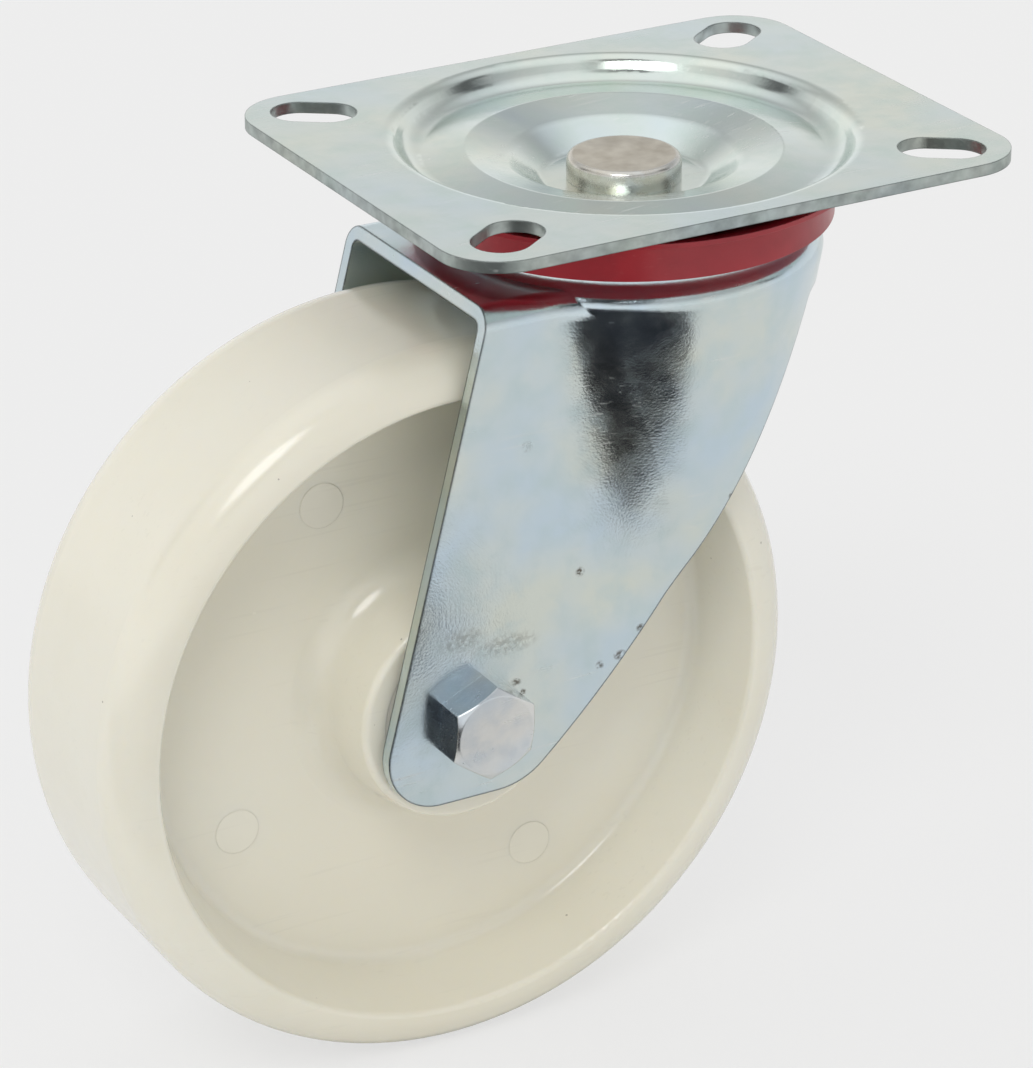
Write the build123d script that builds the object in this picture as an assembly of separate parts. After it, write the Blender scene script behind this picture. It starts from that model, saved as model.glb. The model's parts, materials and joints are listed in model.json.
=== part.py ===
from build123d import *
import math
import os

# Swivel plate castor: pressed steel plate and fork, solid nylon wheel on a roller bearing.
# Millimetres. The origin lies on the swivel axis in the top face of the plate, +Z is up,
# +X runs along the plate's long edge and the wheel trails towards -X.

# Top plate
plate_length = 131.0
plate_width = 108.0
plate_thickness = 2.5
plate_corner_radius = 13.0
slot_inset_x = 14.8
slot_inset_y = 12.5
slot_length = 18.2
slot_width = 12.2
slot_angle = 35.0

# Dished centre of the plate, by its upper face
ball_circle_radius = 33.0
crest_depth = 3.3
crest_bend_radius = 1.0
groove_reach = 11.6
groove_drop = 1.6
groove_bend_radius = 4.6
dish_wall_run = 3.6
dish_flange = 3.0
dish_shoulder_radius = 3.2
step_reach = 9.0
step_drop = 2.2
step_bend_radius = 5.0
floor_reach = 15.7
floor_depth = 10.1
floor_bend_radius = 3.0

# Kingpin and its distance sleeve
kingpin_head_radius = 12.0
kingpin_head_height = 4.95
kingpin_head_edge = 1.3
kingpin_shank_radius = 6.5
rivet_head_radius = 10.5
rivet_head_height = 4.2
rivet_head_edge = 1.6
sleeve_wall = 3.0
sleeve_clearance = 2.7

# Swivel balls and the race under the lower ones
upper_ball_diameter = 8.0
upper_ball_pitch = 23.0
lower_ball_diameter = 6.0
lower_ball_pitch = 6.6
lower_ball_circle_radius = 17.0
ball_clearance = 0.1
lower_race_thickness = 2.5
lower_race_rim_gap = 1.0
lower_race_rim_height = 2.8
lower_race_bend_radius = 1.6

# Raised pot in the fork's crown
pot_reach = 4.9
pot_ridge_height = 1.1
pot_corner_radius = 3.2
pot_groove_radius = 4.5
pot_ridge_reach = 7.0
pot_ridge_radius = 3.6
pot_dip = 2.2
pot_dip_run = 4.5
pot_dip_radius = 2.0
pot_foot_rise = 0.8
pot_foot_radius = 2.2
shoulder_drop = 1.0
shoulder_bend_radius = 3.7

# Crown, bulge and legs of the fork
fork_thickness = 3.0
fork_bend_radius = 5.0
crown_depth = 20.5
crown_front = 48.5
bulge_reach = 3.4
bulge_level = 26.0
bulge_end = 92.0
bulge_fade = 0.1
blend_run_top = 7.6
blend_run_end = 21.5
blend_sections = 5
skirt_height = 10.0
skirt_corner_x = 27.0
skirt_corner_radius = 2.5
leg_foot = 17.3
leg_front_reach = 24.5
leg_front_radius = 12.0
leg_rear_reach = 10.5
leg_rear_radius = 16.0
leg_rear_bow = 7.6

# Wheel and its place below the plate
wheel_diameter = 160.0
wheel_width = 50.0
wheel_trail = 51.5
wheel_gap = 7.0
tread_edge_radius = 9.0
rim_side = 10.0
rim_lip_radius = 1.2
rim_wall_run = 5.0
web_thickness = 16.0
web_fillet_radius = 3.0
hub_radius = 24.0
hub_draft = 2.5
hub_fillet_radius = 7.0
hub_edge_radius = 1.5

# Roller bearing in the hub
axle_sleeve_wall = 3.9
roller_diameter = 5.0
roller_length = 38.0
roller_count = 10
running_clearance = 0.05
cage_thickness = 3.0
cage_end = 1.6
pocket_clearance = 0.1
cap_width = 3.9
cap_thickness = 4.0
cap_bore_clearance = 0.3
washer_width = 7.0
washer_thickness = 1.6
hub_side_gap = 0.4

# Axle bolt and lock nut
bolt_diameter = 12.0
bolt_hole_clearance = 0.1
bolt_hex = 18.0
bolt_turn = 25.0
bolt_head_height = 7.5
hex_chamfer = 1.0
bolt_end_reach = 1.5
bolt_end_chamfer = 1.2
nut_hex_height = 8.5
nut_collar_radius = 8.2
nut_collar_height = 3.0
nut_collar_wall = 0.8
nut_insert_height = 2.2

# Dust seal
seal_gap = 5.9
seal_taper = 0.5
seal_wall = 1.3
seal_web_drop = 1.4
seal_foot_rise = 0.3
brim_width = 5.2
brim_rise = 1.3
brim_thickness = 1.1
brim_clearance = 0.6

# Levels and radii that follow from the sizes above
groove_radius = ball_circle_radius + groove_reach
dish_radius = groove_radius + dish_wall_run
groove_level = -crest_depth - groove_drop
floor_radius = ball_circle_radius - floor_reach
crest_slope = math.atan2(step_drop, step_reach)
race_slope = math.atan2(pot_ridge_height, pot_reach)
upper_ball_room = upper_ball_diameter / 2 + ball_clearance
upper_ball_level = -crest_depth - (plate_thickness + upper_ball_room) / math.cos(crest_slope)
upper_race_floor = upper_ball_level - upper_ball_room / math.cos(race_slope)
crown_dip_level = upper_race_floor - pot_dip
lower_ball_level = crown_dip_level - fork_thickness - ball_clearance - lower_ball_diameter / 2
lower_race_level = lower_ball_level - lower_ball_diameter / 2 - ball_clearance
rivet_level = lower_race_level - lower_race_thickness
sleeve_radius = kingpin_shank_radius + sleeve_wall
pot_radius = ball_circle_radius + pot_reach
pot_foot_level = -crown_depth + pot_foot_rise
slot_x = plate_length / 2 - slot_inset_x
slot_y = plate_width / 2 - slot_inset_y
wheel_drop = crown_depth + fork_thickness + wheel_gap + wheel_diameter / 2
hub_side = wheel_width / 2
leg_inside = hub_side + hub_side_gap + washer_thickness
leg_outside = leg_inside + fork_thickness
bulge_taper = (pot_radius + bulge_reach - leg_outside - bulge_fade) / (bulge_end - bulge_level)
axle_sleeve_radius = bolt_diameter / 2 + bolt_hole_clearance + axle_sleeve_wall
roller_circle_radius = axle_sleeve_radius + running_clearance + roller_diameter / 2
bearing_bore = roller_circle_radius + roller_diameter / 2 + running_clearance
cap_radius = bearing_bore + cap_width
cage_length = roller_length + 2 * (pocket_clearance + cage_end)


def offset_line(points, distance):
    """Vertices of an open polyline moved sideways, to the right of its direction."""
    angles = [math.atan2(b[1] - a[1], b[0] - a[0]) for a, b in zip(points, points[1:])]
    moved = []
    for point, before, after in zip(points, [angles[0], *angles], [*angles, angles[-1]]):
        middle = (before + after) / 2
        reach = distance / math.cos((after - before) / 2)
        moved.append((point[0] + reach * math.sin(middle), point[1] - reach * math.cos(middle)))
    return moved


def offset_bends(points, radii, distance):
    """Bend radii on the far side of the sheet, never sharper than a tenth of its thickness."""
    angles = [math.atan2(b[1] - a[1], b[0] - a[0]) for a, b in zip(points, points[1:])]
    turns = [after - before for before, after in zip(angles, angles[1:])]
    return [r + distance if turn > 0 else max(r - distance, distance / 10) for r, turn in zip(radii, turns)]


def in_section(points):
    """Radius and height pairs as points of the XZ plane."""
    return [(x, 0, z) for x, z in points]


def turned_sheet(points, radii, thickness):
    """Pressed sheet turned about Z, its upper face given from the centre outwards."""
    upper = FilletPolyline(*in_section(points), radius=radii)
    far_radii = offset_bends(points, radii, thickness)
    lower = FilletPolyline(*in_section(offset_line(points, thickness)), radius=far_radii)
    ends = [Line(upper @ 0, lower @ 0), Line(upper @ 1, lower @ 1)]
    return revolve(make_face([*upper.edges(), *lower.edges(), *ends]), Axis.Z)


def turned_core(points, radii):
    """Solid below a line that starts on the Z axis and runs outwards."""
    line = FilletPolyline(*in_section(points), radius=radii)
    foot = points[-1][1]
    closing = Polyline(line @ 1, (0, 0, foot), line @ 0)
    return revolve(make_face([*line.edges(), *closing.edges()]), Axis.Z)


def turned_polygon(points):
    """Solid turned about Z from straight runs."""
    return revolve(make_face(Polyline(*in_section(points), close=True)), Axis.Z)


def tube(outer_radius, inner_radius, low, high):
    """Plain tube round Z between two heights."""
    corners = [(inner_radius, low), (outer_radius, low), (outer_radius, high), (inner_radius, high)]
    return turned_polygon(corners)


def on_axle(shape):
    """Lays a shape made round Z along the axle, its +Z side towards -Y."""
    return Pos(-wheel_trail, 0, -wheel_drop) * Rot(90, 0, 0) * shape


def make_top_plate():
    """Flat plate with four slots, its centre dished down round the kingpin."""
    dish_line = [
        (kingpin_shank_radius, -floor_depth),
        (floor_radius, -floor_depth),
        (ball_circle_radius - step_reach, -crest_depth - step_drop),
        (ball_circle_radius, -crest_depth),
        (groove_radius, groove_level),
        (dish_radius, 0),
        (dish_radius + dish_flange, 0),
    ]
    bends = [floor_bend_radius, step_bend_radius, crest_bend_radius, groove_bend_radius, dish_shoulder_radius]
    outline = RectangleRounded(plate_length, plate_width, plate_corner_radius)
    outline -= Circle(dish_radius + dish_flange)
    for side_x in (-1, 1):
        for side_y in (-1, 1):
            slot = Rot(0, 0, side_x * side_y * slot_angle) * SlotOverall(slot_length, slot_width)
            outline -= Pos(side_x * slot_x, side_y * slot_y) * slot
    sheet = extrude(outline, -plate_thickness)
    return sheet + turned_sheet(dish_line, bends, plate_thickness)


def make_kingpin():
    """Flat-topped head, shank and riveted lower head, in one piece."""
    head = Cylinder(kingpin_head_radius, kingpin_head_height)
    head = fillet(head.edges().sort_by(Axis.Z)[-1], kingpin_head_edge)
    rivet = Cylinder(rivet_head_radius, rivet_head_height)
    rivet = fillet(rivet.edges().sort_by(Axis.Z)[0], rivet_head_edge)
    shank_length = -floor_depth - rivet_level
    pin = Pos(0, 0, -floor_depth + kingpin_head_height / 2) * head
    pin += Pos(0, 0, rivet_level + shank_length / 2) * Cylinder(kingpin_shank_radius, shank_length)
    return pin + Pos(0, 0, rivet_level - rivet_head_height / 2) * rivet


def make_kingpin_sleeve():
    """Distance sleeve that holds the lower race off the plate."""
    return tube(sleeve_radius, kingpin_shank_radius, lower_race_level, -floor_depth - plate_thickness)


def make_lower_race():
    """Pressed cup that carries the lower balls."""
    rim = lower_ball_circle_radius + lower_ball_diameter / 2 + lower_race_rim_gap
    cup_line = [
        (kingpin_shank_radius, lower_race_level),
        (rim, lower_race_level),
        (rim, lower_race_level + lower_race_rim_height),
    ]
    return turned_sheet(cup_line, [lower_race_bend_radius], lower_race_thickness)


def make_balls(diameter, circle_radius, level, pitch):
    """Loose balls spread evenly round the swivel axis."""
    count = math.floor(2 * math.pi * circle_radius / pitch)
    balls = [Pos(0, 0, level) * place * Sphere(diameter / 2) for place in PolarLocations(circle_radius, count)]
    return Compound(balls)


def bulge_at(depth):
    """Outer radius of the fork's tapering bulge at a depth below the plate's top face."""
    return pot_radius + bulge_reach - (depth - bulge_level) * bulge_taper


def fork_section(depth, inset):
    """Outline of the fork at one depth: flat legs that blend into the round bulge behind."""
    radius = bulge_at(depth) - inset * math.hypot(1, bulge_taper)
    side = leg_outside - inset
    run = blend_run_top + (blend_run_end - blend_run_top) * (depth - bulge_level) / (bulge_end - bulge_level)
    start = math.sqrt(bulge_at(depth) ** 2 - leg_outside**2) + run
    blend_radius = (start**2 - radius**2 + side**2) / (2 * (radius - side))
    centre = side + blend_radius
    share = radius / (radius + blend_radius)
    middle_angle = (math.atan2(-centre, start) - math.pi / 2) / 2
    middle_x = -start + blend_radius * math.cos(middle_angle)
    middle_y = centre + blend_radius * math.sin(middle_angle)
    front = -wheel_trail - wheel_diameter / 2
    edges = [Line((front, side, -depth), (front, -side, -depth))]
    for hand in (-1, 1):
        tangent = (-start * share, hand * centre * share, -depth)
        middle = (middle_x, hand * middle_y, -depth)
        edges.append(Line((front, hand * side, -depth), (-start, hand * side, -depth)))
        edges.append(ThreePointArc((-start, hand * side, -depth), middle, tangent))
    ends = [(-start * share, hand * centre * share, -depth) for hand in (-1, 1)]
    edges.append(ThreePointArc(ends[0], (radius, 0, -depth), ends[1]))
    return Wire(edges)


def fork_form(inset):
    """Solid bounded by one face of the fork's sheet: crown, bulge, blends and legs."""
    top = crown_depth + inset
    step = (bulge_end - top) / (blend_sections - 1)
    sections = [fork_section(top + step * index, inset) for index in range(blend_sections)]
    upper = Solid.make_loft(sections)
    rim = upper.faces().sort_by(Axis.Z)[-1].edges().sort_by(Axis.X)[1:]
    upper = fillet(rim, fork_bend_radius - inset)
    lower = extrude(make_face(sections[-1]), wheel_drop + wheel_diameter / 2 - bulge_end, dir=(0, 0, -1))
    return upper + lower


def pot_line():
    """Upper face of the crown from the swivel axis out over the pot and its shoulder."""
    shoulder = crown_depth + shoulder_drop
    end = shoulder + 2 * shoulder_bend_radius
    return [
        (0, crown_dip_level),
        (ball_circle_radius - pot_ridge_reach - pot_dip_run, crown_dip_level),
        (ball_circle_radius - pot_ridge_reach, upper_race_floor + pot_ridge_height),
        (ball_circle_radius, upper_race_floor),
        (pot_radius, upper_race_floor + pot_ridge_height),
        (pot_radius, pot_foot_level),
        (bulge_at(shoulder), -shoulder),
        (bulge_at(end), -end),
    ]


def side_outline():
    """Outline of the fork seen from the side, as drawn in X and Z."""
    foot = -wheel_drop - leg_foot
    skirt_foot = -crown_depth - skirt_height
    front_foot = (-wheel_trail - leg_front_reach, foot)
    rear_foot = (-wheel_trail + leg_rear_reach, foot)
    skirt_corner = (skirt_corner_x, skirt_foot)
    skirt_rear = pot_radius + 2 * bulge_reach
    front = Polyline(rear_foot, front_foot, (-crown_front, -crown_depth), (-crown_front, 0))
    back = Polyline((-crown_front, 0), (skirt_rear, 0), (skirt_rear, skirt_foot), skirt_corner)
    face = make_face([*front.edges(), *back.edges(), SagittaArc(skirt_corner, rear_foot, leg_rear_bow)])
    corners = [(front_foot, leg_front_radius), (rear_foot, leg_rear_radius), (skirt_corner, skirt_corner_radius)]
    for place, radius in corners:
        corner = face.vertices().sort_by_distance(place)[0]
        face = fillet(corner, radius)
    return face


def make_fork():
    """Fork pressed from one sheet: crown with ball pot, bulged rear skirt and two legs."""
    line = pot_line()
    bends = [
        pot_dip_radius,
        pot_ridge_radius,
        pot_groove_radius,
        pot_corner_radius,
        pot_foot_radius,
        shoulder_bend_radius,
    ]
    outside = fork_form(0) + turned_core(line, bends)
    inner_line = offset_line(line, fork_thickness)
    inside = fork_form(fork_thickness) + turned_core(inner_line, offset_bends(line, bends, fork_thickness))
    fork = outside - inside
    fork &= extrude(Rot(90, 0, 0) * side_outline(), 2 * leg_outside, both=True)
    fork -= Cylinder(sleeve_radius + sleeve_clearance, 4 * crown_depth)
    return fork - on_axle(Cylinder(bolt_diameter / 2 + bolt_hole_clearance, 3 * leg_outside))


def make_wheel():
    """Solid nylon wheel with a recessed web, a drafted hub and a bored bearing seat."""
    tread = wheel_diameter / 2
    cap_seat = hub_side - cap_thickness
    web_side = web_thickness / 2
    lip = tread - rim_side
    face_line = [
        (cap_radius, hub_side),
        (hub_radius, hub_side),
        (hub_radius + hub_draft, web_side),
        (lip - rim_wall_run, web_side),
        (lip, hub_side),
        (tread, hub_side),
        (tread, 0),
    ]
    radii = [hub_edge_radius, hub_fillet_radius, web_fillet_radius, rim_lip_radius, tread_edge_radius]
    face = FilletPolyline(*in_section(face_line), radius=radii)
    corners = [(bearing_bore, 0), (bearing_bore, cap_seat), (cap_radius, cap_seat)]
    bore = Polyline(face @ 1, *in_section(corners), face @ 0)
    half = revolve(make_face([*face.edges(), *bore.edges()]), Axis.Z)
    return on_axle(half + mirror(half, Plane.XY))


def roller_places():
    """Places of the rollers round the axle."""
    return PolarLocations(roller_circle_radius, roller_count)


def make_bearing_cage():
    """Plastic cage with an open pocket for each roller."""
    outer = roller_circle_radius + cage_thickness / 2
    cage = tube(outer, outer - cage_thickness, -cage_length / 2, cage_length / 2)
    gap = 2 * pocket_clearance
    pocket = Box(2 * cage_thickness, roller_diameter + gap, roller_length + gap)
    for place in roller_places():
        cage -= place * pocket
    return on_axle(cage)


def make_bearing_rollers():
    """Rollers between the sleeve and the wheel's bore."""
    return Compound([on_axle(place * Cylinder(roller_diameter / 2, roller_length)) for place in roller_places()])


def make_axle_sleeve():
    """Steel sleeve clamped between the legs, the inner race of the rollers."""
    bore = bolt_diameter / 2 + bolt_hole_clearance
    return on_axle(tube(axle_sleeve_radius, bore, -leg_inside, leg_inside))


def make_hub_cap(hand):
    """Plastic ring pressed into one end of the hub."""
    low, high = sorted((hand * (hub_side - cap_thickness), hand * hub_side))
    return on_axle(tube(cap_radius, axle_sleeve_radius + cap_bore_clearance, low, high))


def make_thrust_washer(hand):
    """Steel washer on the sleeve beside one leg."""
    low, high = sorted((hand * (leg_inside - washer_thickness), hand * leg_inside))
    return on_axle(tube(axle_sleeve_radius + washer_width, axle_sleeve_radius, low, high))


def hexagon(height):
    """Hexagon prism from Z=0 upwards, its upper corners chamfered at thirty degrees."""
    prism = extrude(RegularPolygon(bolt_hex / 2, 6, major_radius=False, rotation=bolt_turn), height)
    corner_radius = bolt_hex / math.sqrt(3)
    blank = Pos(0, 0, height / 2) * Cylinder(corner_radius, height)
    rim = blank.edges().sort_by(Axis.Z)[-1]
    return prism & chamfer(rim, hex_chamfer, hex_chamfer * math.sqrt(3))


def make_axle_bolt():
    """Plain hexagon bolt, its head on the leg at -Y."""
    end = leg_outside + nut_hex_height + nut_collar_height + bolt_end_reach
    shank = Pos(0, 0, (leg_outside - end) / 2) * Cylinder(bolt_diameter / 2, leg_outside + end)
    shank = chamfer(shank.edges().sort_by(Axis.Z)[0], bolt_end_chamfer)
    return on_axle(shank + Pos(0, 0, leg_outside) * hexagon(bolt_head_height))


def on_nut_seat(shape):
    """Places a shape made from Z=0 upwards on the outside of the leg at +Y."""
    return on_axle(Pos(0, 0, -leg_outside) * Rot(180, 0, 0) * shape)


def make_lock_nut():
    """Hexagon lock nut with a round collar for its nylon insert."""
    collar_top = nut_hex_height + nut_collar_height
    nut = hexagon(nut_hex_height) + tube(nut_collar_radius, bolt_diameter / 2, 0, collar_top)
    nut -= Cylinder(bolt_diameter / 2, 4 * collar_top)
    insert_radius = nut_collar_radius - nut_collar_wall
    nut -= tube(insert_radius, 0, collar_top - nut_insert_height, collar_top)
    return on_nut_seat(nut)


def make_nut_insert():
    """Nylon ring that grips the bolt's thread."""
    collar_top = nut_hex_height + nut_collar_height
    insert_radius = nut_collar_radius - nut_collar_wall
    return on_nut_seat(tube(insert_radius, bolt_diameter / 2, collar_top - nut_insert_height, collar_top))


def make_dust_seal():
    """Plastic skirt on the fork's pot that covers the gap below the plate."""
    outer = pot_radius + seal_gap
    neck = outer - seal_taper
    web_foot = pot_foot_level + pot_foot_radius - seal_foot_rise
    skirt_foot = web_foot + seal_web_drop
    plate_underside = groove_level - plate_thickness
    neck_top = plate_underside - brim_clearance
    brim_low = neck_top - brim_thickness
    return turned_polygon(
        [
            (pot_radius, web_foot),
            (outer, skirt_foot),
            (neck, brim_low),
            (neck + brim_width, brim_low + brim_rise),
            (neck + brim_width, neck_top + brim_rise),
            (neck - seal_wall, neck_top),
            (outer - seal_wall, skirt_foot + seal_wall),
            (pot_radius, web_foot + seal_wall),
        ]
    )


parts = {
    "top_plate": make_top_plate(),
    "kingpin": make_kingpin(),
    "kingpin_sleeve": make_kingpin_sleeve(),
    "lower_race": make_lower_race(),
    "upper_balls": make_balls(upper_ball_diameter, ball_circle_radius, upper_ball_level, upper_ball_pitch),
    "lower_balls": make_balls(lower_ball_diameter, lower_ball_circle_radius, lower_ball_level, lower_ball_pitch),
    "fork": make_fork(),
    "dust_seal": make_dust_seal(),
    "wheel": make_wheel(),
    "bearing_cage": make_bearing_cage(),
    "bearing_rollers": make_bearing_rollers(),
    "axle_sleeve": make_axle_sleeve(),
    "hub_cap_near": make_hub_cap(1),
    "hub_cap_far": make_hub_cap(-1),
    "thrust_washer_near": make_thrust_washer(1),
    "thrust_washer_far": make_thrust_washer(-1),
    "axle_bolt": make_axle_bolt(),
    "lock_nut": make_lock_nut(),
    "nut_insert": make_nut_insert(),
}
os.makedirs("parts", exist_ok=True)
for name, shape in parts.items():
    export_step(shape, f"parts/{name}.step")
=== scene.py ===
import json
import math
import bmesh
import bpy
from mathutils import Matrix, Vector

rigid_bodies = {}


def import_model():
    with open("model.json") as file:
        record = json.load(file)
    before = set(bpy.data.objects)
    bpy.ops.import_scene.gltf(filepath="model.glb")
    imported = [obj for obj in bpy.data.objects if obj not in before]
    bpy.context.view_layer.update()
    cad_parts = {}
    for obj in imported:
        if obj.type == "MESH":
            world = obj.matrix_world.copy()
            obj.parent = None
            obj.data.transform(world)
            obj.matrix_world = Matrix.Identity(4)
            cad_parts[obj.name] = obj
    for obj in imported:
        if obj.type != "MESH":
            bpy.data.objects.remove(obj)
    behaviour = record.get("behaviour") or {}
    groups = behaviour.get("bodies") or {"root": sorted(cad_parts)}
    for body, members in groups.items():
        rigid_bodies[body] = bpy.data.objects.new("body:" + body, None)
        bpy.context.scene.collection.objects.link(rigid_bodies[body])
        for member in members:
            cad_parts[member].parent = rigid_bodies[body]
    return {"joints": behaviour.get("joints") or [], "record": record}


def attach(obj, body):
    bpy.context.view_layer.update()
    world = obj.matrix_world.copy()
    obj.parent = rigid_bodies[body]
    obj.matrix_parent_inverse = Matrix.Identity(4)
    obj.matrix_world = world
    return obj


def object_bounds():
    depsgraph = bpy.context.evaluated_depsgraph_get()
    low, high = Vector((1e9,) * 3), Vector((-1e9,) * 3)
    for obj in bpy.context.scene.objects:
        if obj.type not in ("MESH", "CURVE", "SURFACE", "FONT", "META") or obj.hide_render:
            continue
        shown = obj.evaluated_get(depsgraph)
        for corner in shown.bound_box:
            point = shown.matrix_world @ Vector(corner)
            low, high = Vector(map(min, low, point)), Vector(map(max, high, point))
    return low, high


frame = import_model()
cadLow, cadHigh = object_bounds()
mm = 0.001
axlePlace = Vector(next(joint["pos_m"] for joint in frame["joints"] if joint["name"] == "wheel_spin"))
print("frame loaded")

cameraSetup = {
    "place": (-0.4518, -0.7608, 0.3171),
    "azimuth": -29.25,
    "elevation": 24.81,
    "roll": -0.16,
    "lens": 152.96,
    "sensor": 36.0,
}


def makeCamera():
    s = cameraSetup
    azimuth, elevation, roll = (math.radians(s[key]) for key in ("azimuth", "elevation", "roll"))
    flat = math.cos(elevation)
    back = Vector((flat * math.sin(azimuth), -flat * math.cos(azimuth), math.sin(elevation)))
    level = Vector((math.cos(azimuth), math.sin(azimuth), 0))
    upright = back.cross(level)
    right = level * math.cos(roll) + upright * math.sin(roll)
    matrix = Matrix((right, back.cross(right), back)).transposed().to_4x4()
    matrix.translation = Vector(s["place"])
    data = bpy.data.cameras.new("camera")
    data.lens = s["lens"]
    data.sensor_width = s["sensor"]
    camera = bpy.data.objects.new("camera", data)
    camera.matrix_world = matrix
    bpy.context.scene.collection.objects.link(camera)
    bpy.context.scene.camera = camera


def addNode(tree, kind, **settings):
    node = tree.nodes.new("ShaderNode" + kind)
    for key, value in settings.items():
        setattr(node, key, value)
    return node


def setInput(tree, node, key, value):
    # a socket is linked, anything else becomes the input's own value
    if isinstance(value, bpy.types.NodeSocket):
        tree.links.new(value, node.inputs[key])
    else:
        node.inputs[key].default_value = value


def doMath(tree, operation, *values, clamp=False):
    node = addNode(tree, "Math", operation=operation, use_clamp=clamp)
    for index, value in enumerate(values):
        setInput(tree, node, index, value)
    return node.outputs[0]


def mixColors(tree, share, first, second, blend="MIX"):
    node = addNode(tree, "Mix", data_type="RGBA", blend_type=blend)
    setInput(tree, node, 0, share)
    setInput(tree, node, 6, first)
    setInput(tree, node, 7, second)
    return node.outputs[2]


def mapRange(tree, value, fromLow, fromHigh, toLow=0.0, toHigh=1.0):
    node = addNode(tree, "MapRange")
    for index, entry in enumerate((value, fromLow, fromHigh, toLow, toHigh)):
        setInput(tree, node, index, entry)
    return node.outputs[0]


def objectPlace(tree):
    return addNode(tree, "TexCoord").outputs["Object"]


def addNoise(tree, place, scale, detail=2.0, roughness=0.5):
    node = addNode(tree, "TexNoise")
    for key, value in (("Vector", place), ("Scale", scale), ("Detail", detail), ("Roughness", roughness)):
        setInput(tree, node, key, value)
    return node.outputs[0]


def newGroup(name, inputs, outputs):
    tree = bpy.data.node_groups.new(name, "ShaderNodeTree")
    for label, kind, value in inputs:
        socket = tree.interface.new_socket(label, in_out="INPUT", socket_type="NodeSocket" + kind)
        socket.default_value = value
    for label, kind in outputs:
        tree.interface.new_socket(label, in_out="OUTPUT", socket_type="NodeSocket" + kind)
    return tree, tree.nodes.new("NodeGroupInput").outputs, tree.nodes.new("NodeGroupOutput").inputs


def useGroup(tree, name, **values):
    node = tree.nodes.new("ShaderNodeGroup")
    node.node_tree = bpy.data.node_groups[name]
    for key, value in values.items():
        setInput(tree, node, key, value)
    return node.outputs


def makeScratchGroup():
    # long thin streaks in three directions, gathered in patches
    tree, given, result = newGroup(
        "fineScratches", [("Fineness", "Float", 50.0), ("Amount", "Float", 0.5)], [("Mask", "Float")])
    place = objectPlace(tree)
    streaks = 0.0
    for turn in ((0.3, 0.2, 0.5), (1.1, 0.4, 2.1), (0.2, 1.3, 3.9)):
        mapping = addNode(tree, "Mapping")
        setInput(tree, mapping, "Vector", place)
        setInput(tree, mapping, "Rotation", turn)
        setInput(tree, mapping, "Scale", (0.8, 26.0, 26.0))
        streak = addNoise(tree, mapping.outputs[0], given["Fineness"], 1.0)
        streaks = doMath(tree, "MAXIMUM", streaks, mapRange(tree, streak, 0.69, 0.74))
    patches = mapRange(tree, addNoise(tree, place, 45.0), 0.42, 0.62)
    strength = doMath(tree, "MULTIPLY", patches, given["Amount"])
    tree.links.new(doMath(tree, "MULTIPLY", streaks, strength, clamp=True), result["Mask"])


def makeEdgeGroup():
    # softened edges, and a mask of where they are, which steel finishes use to paint highlight and shade along the
    # edges
    tree, given, result = newGroup(
        "edgeBevelMask", [("Radius", "Float", 0.0004)], [("Mask", "Float"), ("Normal", "Vector")])
    bevel = addNode(tree, "Bevel", samples=6)
    setInput(tree, bevel, "Radius", given["Radius"])
    turned = addNode(tree, "VectorMath", operation="DOT_PRODUCT")
    tree.links.new(bevel.outputs[0], turned.inputs[0])
    tree.links.new(addNode(tree, "NewGeometry").outputs["Normal"], turned.inputs[1])
    tree.links.new(mapRange(tree, turned.outputs["Value"], 0.995, 0.9), result["Mask"])
    tree.links.new(bevel.outputs[0], result["Normal"])


def makePeelGroup():
    # the fine uneven skin of a plated or moulded surface
    tree, given, result = newGroup(
        "surfacePeel",
        [("Scale", "Float", 800.0), ("Depth", "Float", 0.00002), ("Waves", "Float", 0.0001),
         ("Normal", "Vector", (0, 0, 0))],
        [("Normal", "Vector")])
    place = objectPlace(tree)
    normal = given["Normal"]
    for scale, depth in ((60.0, given["Waves"]), (given["Scale"], given["Depth"])):
        bump = addNode(tree, "Bump")
        setInput(tree, bump, "Distance", depth)
        setInput(tree, bump, "Height", addNoise(tree, place, scale, 2.0))
        setInput(tree, bump, "Normal", normal)
        normal = bump.outputs[0]
    tree.links.new(normal, result["Normal"])


def makeTintGroup():
    # three close colours that drift into each other
    colour = (0.7, 0.7, 0.7, 1.0)
    tree, given, result = newGroup(
        "tintDrift",
        [("Scale", "Float", 30.0), ("Cool", "Color", colour), ("Warm", "Color", colour),
         ("Deep", "Color", colour)],
        [("Color", "Color"), ("Mask", "Float")])
    place = objectPlace(tree)
    broad = addNoise(tree, place, given["Scale"], 3.0)
    close = addNoise(tree, place, doMath(tree, "MULTIPLY", given["Scale"], 3.7), 4.0, 0.6)
    blend = mixColors(tree, mapRange(tree, broad, 0.35, 0.65), given["Cool"], given["Warm"])
    share = mapRange(tree, close, 0.45, 0.75, 0.0, 0.7)
    tree.links.new(mixColors(tree, share, blend, given["Deep"]), result["Color"])
    tree.links.new(close, result["Mask"])


def makeSpeckGroup():
    # small scattered specks
    tree, given, result = newGroup(
        "dirtSpecks", [("Scale", "Float", 120.0), ("Size", "Float", 0.05)], [("Mask", "Float")])
    cells = addNode(tree, "TexVoronoi")
    setInput(tree, cells, "Vector", objectPlace(tree))
    setInput(tree, cells, "Scale", given["Scale"])
    dots = doMath(tree, "LESS_THAN", cells.outputs["Distance"], given["Size"])
    chosen = addNode(tree, "SeparateColor")
    tree.links.new(cells.outputs["Color"], chosen.inputs[0])
    some = doMath(tree, "GREATER_THAN", chosen.outputs[0], 0.72)
    tree.links.new(doMath(tree, "MULTIPLY", dots, some), result["Mask"])


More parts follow.
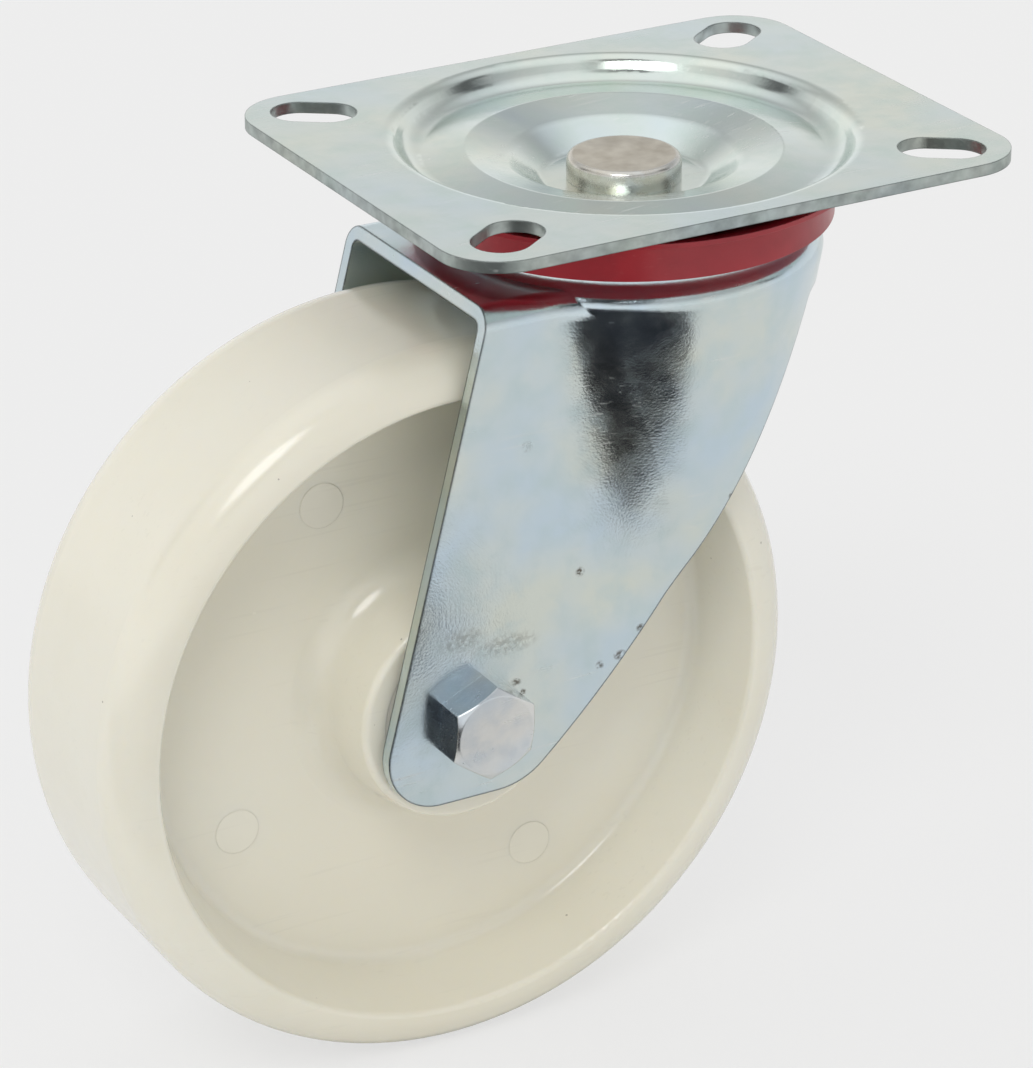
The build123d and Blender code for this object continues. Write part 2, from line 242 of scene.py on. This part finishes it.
def newMaterial(name):
    material = bpy.data.materials.new(name)
    material.use_nodes = True
    tree = material.node_tree
    return material, tree, tree.nodes["Principled BSDF"]


# rim is a painted edge colour: light rims are painted highlights along the edges, dark rims (plate, fork) are painted
# shade along the edges
zincLooks = {
    "zinc_plate": {
        "cool": (0.63, 0.72, 0.74, 1), "warm": (0.71, 0.75, 0.67, 1), "deep": (0.58, 0.70, 0.65, 1),
        "rim": (0.12, 0.13, 0.13, 1), "paintedEdgeShare": 0.7,
        "tintScale": 26.0, "roughness": 0.13, "spread": 0.09, "edge": 0.0004,
        "peelScale": 1300.0, "peelDepth": 0.000007, "waves": 0.00010, "fineness": 42.0, "scratches": 0.8, "shear": 0.6},
    "zinc_fork": {
        "cool": (0.58, 0.69, 0.77, 1), "warm": (0.69, 0.73, 0.67, 1), "deep": (0.55, 0.67, 0.69, 1),
        "rim": (0.03, 0.03, 0.03, 1), "paintedEdgeShare": 0.95,
        "tintScale": 38.0, "roughness": 0.12, "spread": 0.12, "edge": 0.0008,
        "peelScale": 1900.0, "peelDepth": 0.000024, "waves": 0.00010, "fineness": 36.0, "scratches": 0.5},
    "zinc_bolt": {
        "cool": (0.62, 0.70, 0.78, 1), "warm": (0.74, 0.74, 0.72, 1), "deep": (0.58, 0.64, 0.70, 1),
        "rim": (0.82, 0.84, 0.86, 1), "paintedEdgeShare": 0.5,
        "tintScale": 60.0, "roughness": 0.18, "spread": 0.10, "edge": 0.0005,
        "peelScale": 900.0, "peelDepth": 0.00001, "waves": 0.00006, "fineness": 60.0, "scratches": 0.6},
    "inner_steel": {
        "cool": (0.50, 0.52, 0.55, 1), "warm": (0.60, 0.58, 0.54, 1), "deep": (0.40, 0.41, 0.42, 1),
        "rim": (0.70, 0.70, 0.70, 1), "paintedEdgeShare": 0.5,
        "tintScale": 60.0, "roughness": 0.26, "spread": 0.10, "edge": 0.0004,
        "peelScale": 700.0, "peelDepth": 0.00001, "waves": 0.00004, "fineness": 60.0, "scratches": 0.6},
    "ball_steel": {
        "cool": (0.74, 0.75, 0.77, 1), "warm": (0.78, 0.77, 0.74, 1), "deep": (0.66, 0.66, 0.66, 1),
        "rim": (0.80, 0.80, 0.80, 1), "paintedEdgeShare": 0.2,
        "tintScale": 80.0, "roughness": 0.08, "spread": 0.08, "edge": 0.0002,
        "peelScale": 700.0, "peelDepth": 0.000002, "waves": 0.000002, "fineness": 80.0, "scratches": 0.4},
}
pinLook = {
    "cool": (0.60, 0.62, 0.62, 1), "warm": (0.68, 0.64, 0.56, 1), "deep": (0.50, 0.46, 0.38, 1),
    "dull": (0.46, 0.41, 0.33, 1), "dullRadius": 11.0 * mm, "dullFrom": -5.35 * mm,
    "tintScale": 70.0, "roughness": 0.20, "dullRoughness": 0.42, "edge": 0.0004,
}


def steelBase(tree, shader, s):
    # colour drift, scratches, soft edges with a painted edge line (painted highlight on light rims, painted shade on
    # dark rims) and plated skin that every steel finish has
    tint = useGroup(tree, "tintDrift", Scale=s["tintScale"], Cool=s["cool"], Warm=s["warm"], Deep=s["deep"])
    scratch = useGroup(tree, "fineScratches", Fineness=s["fineness"], Amount=s["scratches"])["Mask"]
    edge = useGroup(tree, "edgeBevelMask", Radius=s["edge"])
    colour = mixColors(tree, doMath(tree, "MULTIPLY", scratch, 0.5), tint["Color"], (0.86, 0.86, 0.84, 1))
    # painted light: edges take the rim colour, a painted highlight where it is light (bolt, pin, inner steel, balls)
    # and painted shade where it is dark (plate, fork)
    colour = mixColors(tree, doMath(tree, "MULTIPLY", edge["Mask"], s["paintedEdgeShare"]), colour, s["rim"])
    rough = mapRange(tree, tint["Mask"], 0.3, 0.7, s["roughness"], s["roughness"] + s["spread"])
    rough = doMath(tree, "MULTIPLY_ADD", scratch, 0.2, rough)
    skin = useGroup(
        tree, "surfacePeel", Scale=s["peelScale"], Depth=s["peelDepth"], Waves=s["waves"],
        Normal=edge["Normal"])
    setInput(tree, shader, "Base Color", colour)
    setInput(tree, shader, "Roughness", rough)
    setInput(tree, shader, "Normal", skin["Normal"])
    shader.inputs["Metallic"].default_value = 1.0
    return colour, rough


def separatePlace(tree, vector):
    node = addNode(tree, "SeparateXYZ")
    tree.links.new(vector, node.inputs[0])
    return node.outputs


def addShear(tree, shader, colour, rough, share):
    # upright walls left by the shears are darker and rougher than the rolled faces
    lean = separatePlace(tree, addNode(tree, "NewGeometry").outputs["True Normal"])[2]
    upright = mapRange(tree, doMath(tree, "ABSOLUTE", lean), 0.4, 0.15)
    torn = mapRange(tree, addNoise(tree, objectPlace(tree), 300.0, 3.0), 0.3, 0.7, 0.5, 1.0)
    mask = doMath(tree, "MULTIPLY", doMath(tree, "MULTIPLY", upright, torn), share)
    setInput(tree, shader, "Base Color", mixColors(tree, mask, colour, (0.10, 0.11, 0.11, 1)))
    setInput(tree, shader, "Roughness", doMath(tree, "MULTIPLY_ADD", mask, 0.45, rough))


# marks on the near leg: x, z and radius in millimetres, stretch along x, darkness
legMarks = [
    (-27.6, -82.1, 1.0, 1.0, 0.9), (-42.8, -103.7, 0.8, 1.6, 0.8), (-41.1, -106.4, 0.7, 1.0, 0.8),
    (7.3, -71.3, 0.9, 1.0, 0.8), (-13.0, -98.4, 0.9, 1.0, 0.8), (-17.9, -103.5, 1.0, 1.4, 0.8),
    (-22.7, -104.7, 0.9, 1.0, 0.7), (-56.0, -91.0, 2.4, 2.2, 0.35), (-45.0, -94.5, 2.2, 3.0, 0.3),
    (-40.0, -51.3, 1.1, 1.0, 0.3)]


def addLegMarks(tree, shader, colour, rough):
    x, y, z = separatePlace(tree, objectPlace(tree))
    total = 0.0
    for markX, markZ, radius, stretch, dark in legMarks:
        across = doMath(tree, "DIVIDE", doMath(tree, "SUBTRACT", x, markX * mm), stretch * radius * mm)
        height = doMath(tree, "DIVIDE", doMath(tree, "SUBTRACT", z, markZ * mm), radius * mm)
        away = doMath(tree, "ADD", doMath(tree, "POWER", across, 2.0), doMath(tree, "POWER", height, 2.0))
        total = doMath(tree, "MAXIMUM", total, mapRange(tree, away, 1.6, 0.2, 0.0, dark))
    broken = mapRange(tree, addNoise(tree, objectPlace(tree), 900.0, 4.0, 0.7), 0.42, 0.56)
    outside = doMath(tree, "LESS_THAN", y, -29.0 * mm)
    mask = doMath(tree, "MULTIPLY", doMath(tree, "MULTIPLY", total, broken), outside)
    setInput(tree, shader, "Base Color", mixColors(tree, mask, colour, (0.10, 0.075, 0.05, 1)))
    setInput(tree, shader, "Roughness", doMath(tree, "MULTIPLY_ADD", mask, 0.4, rough))


def makeSteel(name):
    material, tree, shader = newMaterial(name)
    colour, rough = steelBase(tree, shader, zincLooks[name])
    if name == "zinc_plate":
        addShear(tree, shader, colour, rough, zincLooks[name]["shear"])
    if name == "zinc_fork":
        addLegMarks(tree, shader, colour, rough)
    return material


def makePinFinish():
    # bright head with a dull pressed flat on top
    s = pinLook
    material, tree, shader = newMaterial("zinc_pin")
    rest = {**zincLooks["zinc_bolt"], **s}
    colour, rough = steelBase(tree, shader, rest)
    x, y, z = separatePlace(tree, objectPlace(tree))
    across = doMath(tree, "POWER", x, 2.0)
    away = doMath(tree, "SQRT", doMath(tree, "ADD", across, doMath(tree, "POWER", y, 2.0)))
    inside = mapRange(tree, away, s["dullRadius"], s["dullRadius"] - 0.5 * mm)
    onTop = doMath(tree, "GREATER_THAN", z, s["dullFrom"])
    dull = doMath(tree, "MULTIPLY", inside, onTop)
    patchy = mixColors(tree, mapRange(tree, addNoise(tree, objectPlace(tree), 260.0, 4.0), 0.3, 0.7),
                       s["dull"], s["warm"])
    setInput(tree, shader, "Base Color", mixColors(tree, doMath(tree, "MULTIPLY", dull, 0.85), colour, patchy))
    extra = doMath(tree, "MULTIPLY", dull, s["dullRoughness"] - s["roughness"])
    setInput(tree, shader, "Roughness", doMath(tree, "ADD", rough, extra))
    return material


plasticLooks = {
    "red_plastic": {
        "cool": (0.34, 0.010, 0.020, 1), "warm": (0.42, 0.014, 0.024, 1), "deep": (0.28, 0.006, 0.014, 1),
        "mark": (0.50, 0.10, 0.10, 1), "tintScale": 40.0, "roughness": 0.28, "spread": 0.10,
        "coat": 0.25, "scatter": 0.0, "edge": 0.0003, "peelScale": 700.0, "peelDepth": 0.000008,
        "waves": 0.00005, "fineness": 50.0, "scratches": 0.5, "specks": 0.03},
    "white_nylon": {
        "cool": (0.83, 0.81, 0.71, 1), "warm": (0.82, 0.785, 0.66, 1), "deep": (0.80, 0.77, 0.65, 1),
        "mark": (0.36, 0.33, 0.27, 1), "tintScale": 9.0, "roughness": 0.17, "spread": 0.08,
        "coat": 0.35, "scatter": 0.30, "edge": 0.0005, "peelScale": 420.0, "peelDepth": 0.000008,
        "waves": 0.00010, "fineness": 30.0, "scratches": 0.18, "specks": 0.035},
    "cage_plastic": {
        "cool": (0.74, 0.73, 0.67, 1), "warm": (0.78, 0.74, 0.64, 1), "deep": (0.70, 0.67, 0.58, 1),
        "mark": (0.40, 0.36, 0.30, 1), "tintScale": 50.0, "roughness": 0.42, "spread": 0.12,
        "coat": 0.0, "scatter": 0.15, "edge": 0.0003, "peelScale": 600.0, "peelDepth": 0.00001,
        "waves": 0.00003, "fineness": 50.0, "scratches": 0.3, "specks": 0.05},
    "insert_nylon": {
        "cool": (0.78, 0.78, 0.74, 1), "warm": (0.80, 0.78, 0.70, 1), "deep": (0.72, 0.71, 0.64, 1),
        "mark": (0.45, 0.42, 0.36, 1), "tintScale": 90.0, "roughness": 0.45, "spread": 0.10,
        "coat": 0.0, "scatter": 0.15, "edge": 0.0002, "peelScale": 600.0, "peelDepth": 0.00001,
        "waves": 0.00002, "fineness": 60.0, "scratches": 0.3, "specks": 0.04},
}


plasticLooks["nylonMark"] = {**plasticLooks["white_nylon"], "scatter": 0.0}  # thin marks let no light through


def makePlastic(name):
    s = plasticLooks[name]
    material, tree, shader = newMaterial(name)
    tint = useGroup(tree, "tintDrift", Scale=s["tintScale"], Cool=s["cool"], Warm=s["warm"], Deep=s["deep"])
    scratch = useGroup(tree, "fineScratches", Fineness=s["fineness"], Amount=s["scratches"])["Mask"]
    speck = useGroup(tree, "dirtSpecks", Scale=140.0, Size=s["specks"])["Mask"]
    edge = useGroup(tree, "edgeBevelMask", Radius=s["edge"])
    marks = doMath(tree, "MAXIMUM", doMath(tree, "MULTIPLY", scratch, 0.3), doMath(tree, "MULTIPLY", speck, 0.7))
    rough = mapRange(tree, tint["Mask"], 0.3, 0.7, s["roughness"], s["roughness"] + s["spread"])
    skin = useGroup(
        tree, "surfacePeel", Scale=s["peelScale"], Depth=s["peelDepth"], Waves=s["waves"],
        Normal=edge["Normal"])
    setInput(tree, shader, "Base Color", mixColors(tree, marks, tint["Color"], s["mark"]))
    setInput(tree, shader, "Roughness", doMath(tree, "MULTIPLY_ADD", scratch, 0.2, rough))
    setInput(tree, shader, "Normal", skin["Normal"])
    shader.inputs["Coat Weight"].default_value = s["coat"]
    shader.inputs["Coat Roughness"].default_value = 0.15
    shader.inputs["Subsurface Weight"].default_value = s["scatter"]
    shader.inputs["Subsurface Radius"].default_value = (1.0, 0.85, 0.6)
    shader.inputs["Subsurface Scale"].default_value = 0.003
    return material


for makeShared in (makeScratchGroup, makeEdgeGroup, makePeelGroup, makeTintGroup, makeSpeckGroup):
    makeShared()
finishes = {name: makeSteel(name) for name in zincLooks}
finishes.update({name: makePlastic(name) for name in plasticLooks})
finishes["zinc_pin"] = makePinFinish()
for part in frame["record"]["subparts"]:
    for slot in bpy.data.objects[part["node"]].material_slots:
        slot.material = finishes[part["material_slot"]]
print("finishes made")

ejectorMark = {
    "radius": 5.0 * mm, "circle": 51.5 * mm, "web": 8.0 * mm, "proud": 0.08 * mm, "edge": 0.06 * mm,
    "sunk": 0.4 * mm, "angles": (28.0, 118.0, 208.0, 298.0), "segments": 96,
}


def makeEjectorMark(name, angle):
    # round mark that a mould's ejector pin leaves, barely proud of the wheel's web
    s = ejectorMark
    turn = math.radians(angle)
    centre = axlePlace + Vector((math.cos(turn), 0, math.sin(turn))) * s["circle"]
    levels = [(s["radius"], s["sunk"]), (s["radius"], s["edge"] - s["proud"]), (s["radius"] - s["edge"], -s["proud"])]
    mesh = bmesh.new()
    rings = []
    for radius, level in levels:
        ring = []
        for step in range(s["segments"]):
            around = 2 * math.pi * step / s["segments"]
            offset = Vector((radius * math.cos(around), level - s["web"], radius * math.sin(around)))
            ring.append(mesh.verts.new(centre + offset))
        rings.append(ring)
    for first, second in zip(rings, rings[1:]):
        for step in range(s["segments"]):
            after = (step + 1) % s["segments"]
            mesh.faces.new((first[step], first[after], second[after], second[step]))
    mesh.faces.new(rings[0])
    mesh.faces.new(rings[-1])
    bmesh.ops.recalc_face_normals(mesh, faces=mesh.faces)
    data = bpy.data.meshes.new(name)
    mesh.to_mesh(data)
    mesh.free()
    data.materials.append(finishes["nylonMark"])
    mark = bpy.data.objects.new(name, data)
    bpy.context.scene.collection.objects.link(mark)
    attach(mark, "road_wheel")


for index, angle in enumerate(ejectorMark["angles"]):
    makeEjectorMark(f"ejectorMark{index + 1}", angle)
print("moulding marks made")

stageSetup = {
    "floorSize": 14.0, "floorColour": (0.88, 0.88, 0.875, 1), "floorRoughness": 0.7, "floorGlow": 0.75,
    "cardNear": 0.165, "cardFar": 2.0, "cardLeft": 0.7, "cardRight": 0.15, "cardColour": (0.012, 0.012, 0.016, 1),
    "horizon": 0.98, "low": 0.95, "middle": 0.50, "overhead": 1.05, "sideFall": 0.12,
    "background": (0.863, 0.863, 0.863, 1),
    "sunFrom": (-0.45, -0.55, 0.85), "sunPower": 0.75, "sunSpread": 24.0,
    # dark gaps between the lamps: degrees round from the camera's side, height, size, and how dark
    "gaps": [(0, 36, 11, 0.95), (0, 50, 12, 0.95), (0, 64, 10, 0.9), (97, 26, 8, 0.85), (97, 40, 7, 0.8),
             (-97, 26, 8, 0.85), (-97, 40, 7, 0.8)],
}


def makeSheet(name, corners, colour, roughness):
    data = bpy.data.meshes.new(name)
    data.from_pydata(corners, [], [(0, 1, 2, 3)])
    material, tree, shader = newMaterial(name)
    shader.inputs["Base Color"].default_value = colour
    shader.inputs["Roughness"].default_value = roughness
    shader.inputs["Specular IOR Level"].default_value = 0.2
    data.materials.append(material)
    sheet = bpy.data.objects.new(name, data)
    bpy.context.scene.collection.objects.link(sheet)
    return sheet


def makeStage():
    s = stageSetup
    level, half = cadLow[2], s["floorSize"] / 2
    corners = [(x, y, level) for x, y in ((-half, -half), (half, -half), (half, half), (-half, half))]
    floor = makeSheet("floor", corners, s["floorColour"], s["floorRoughness"])
    tree = floor.active_material.node_tree
    glow, blend = addNode(tree, "Emission"), addNode(tree, "MixShader")
    glow.inputs[0].default_value = s["background"]
    seen = addNode(tree, "LightPath").outputs["Is Camera Ray"]
    tree.links.new(doMath(tree, "MULTIPLY", seen, s["floorGlow"]), blend.inputs[0])
    tree.links.new(tree.nodes["Principled BSDF"].outputs[0], blend.inputs[1])
    tree.links.new(glow.outputs[0], blend.inputs[2])
    tree.links.new(blend.outputs[0], tree.nodes["Material Output"].inputs[0])
    azimuth = math.radians(cameraSetup["azimuth"])
    front = Vector((math.sin(azimuth), -math.cos(azimuth), 0))
    side = Vector((math.cos(azimuth), math.sin(azimuth), 0))
    left, right = -side * s["cardLeft"], side * s["cardRight"]
    lift = Vector((0, 0, level + 1 * mm))
    near, far = front * s["cardNear"] + lift, front * s["cardFar"] + lift
    card = makeSheet("darkCard", [near + left, near + right, far + right, far + left], s["cardColour"], 0.9)
    card.visible_camera = card.visible_diffuse = card.visible_shadow = False
    sun = bpy.data.objects.new("sun", bpy.data.lights.new("sun", "SUN"))
    sun.data.energy = s["sunPower"]
    sun.data.angle = math.radians(s["sunSpread"])
    sun.rotation_euler = Vector(s["sunFrom"]).to_track_quat("Z", "Y").to_euler()
    bpy.context.scene.collection.objects.link(sun)


def makeWorld():
    # soft studio: pale round the horizon, greyer higher up, bright overhead
    s = stageSetup
    world = bpy.data.worlds.new("studio")
    world.use_nodes = True
    bpy.context.scene.world = world
    tree = world.node_tree
    direction = addNode(tree, "TexCoord").outputs["Generated"]
    parts = addNode(tree, "SeparateXYZ")
    tree.links.new(direction, parts.inputs[0])
    ramp = addNode(tree, "ValToRGB")
    stops = [(0.0, 0.4), (0.5, s["horizon"]), (0.62, s["low"]), (0.80, s["middle"]), (0.95, s["overhead"])]
    while len(ramp.color_ramp.elements) < len(stops):
        ramp.color_ramp.elements.new(0.5)
    for element, (position, level) in zip(ramp.color_ramp.elements, stops):
        element.position = position
        element.color = (level, level, level, 1)
    tree.links.new(mapRange(tree, parts.outputs[2], -1.0, 1.0), ramp.inputs[0])
    azimuth = math.radians(cameraSetup["azimuth"])
    sideways = addNode(tree, "VectorMath", operation="DOT_PRODUCT")
    tree.links.new(direction, sideways.inputs[0])
    sideways.inputs[1].default_value = (math.cos(azimuth), math.sin(azimuth), 0)
    fall = mapRange(tree, sideways.outputs["Value"], -1.0, 1.0, 1 + s["sideFall"], 1 - s["sideFall"])
    light = mixColors(tree, 1.0, ramp.outputs[0], fall, "MULTIPLY")
    for around, height, size, depth in s["gaps"]:
        turn, rise = azimuth + math.radians(around), math.radians(height)
        towards = (math.cos(rise) * math.sin(turn), -math.cos(rise) * math.cos(turn), math.sin(rise))
        near = addNode(tree, "VectorMath", operation="DOT_PRODUCT")
        tree.links.new(direction, near.inputs[0])
        near.inputs[1].default_value = towards
        rim, core = (math.cos(math.radians(size * share)) for share in (1.3, 0.8))
        light = mixColors(
            tree, 1.0, light, mapRange(tree, near.outputs["Value"], rim, core, 1.0, 1 - depth), "MULTIPLY")
    seen = addNode(tree, "LightPath").outputs["Is Camera Ray"]
    background = tree.nodes["Background"]
    setInput(tree, background, "Color", mixColors(tree, seen, light, s["background"]))


makeStage()
makeWorld()
makeCamera()
bpy.context.scene.view_settings.view_transform = "Standard"
print("stage made")
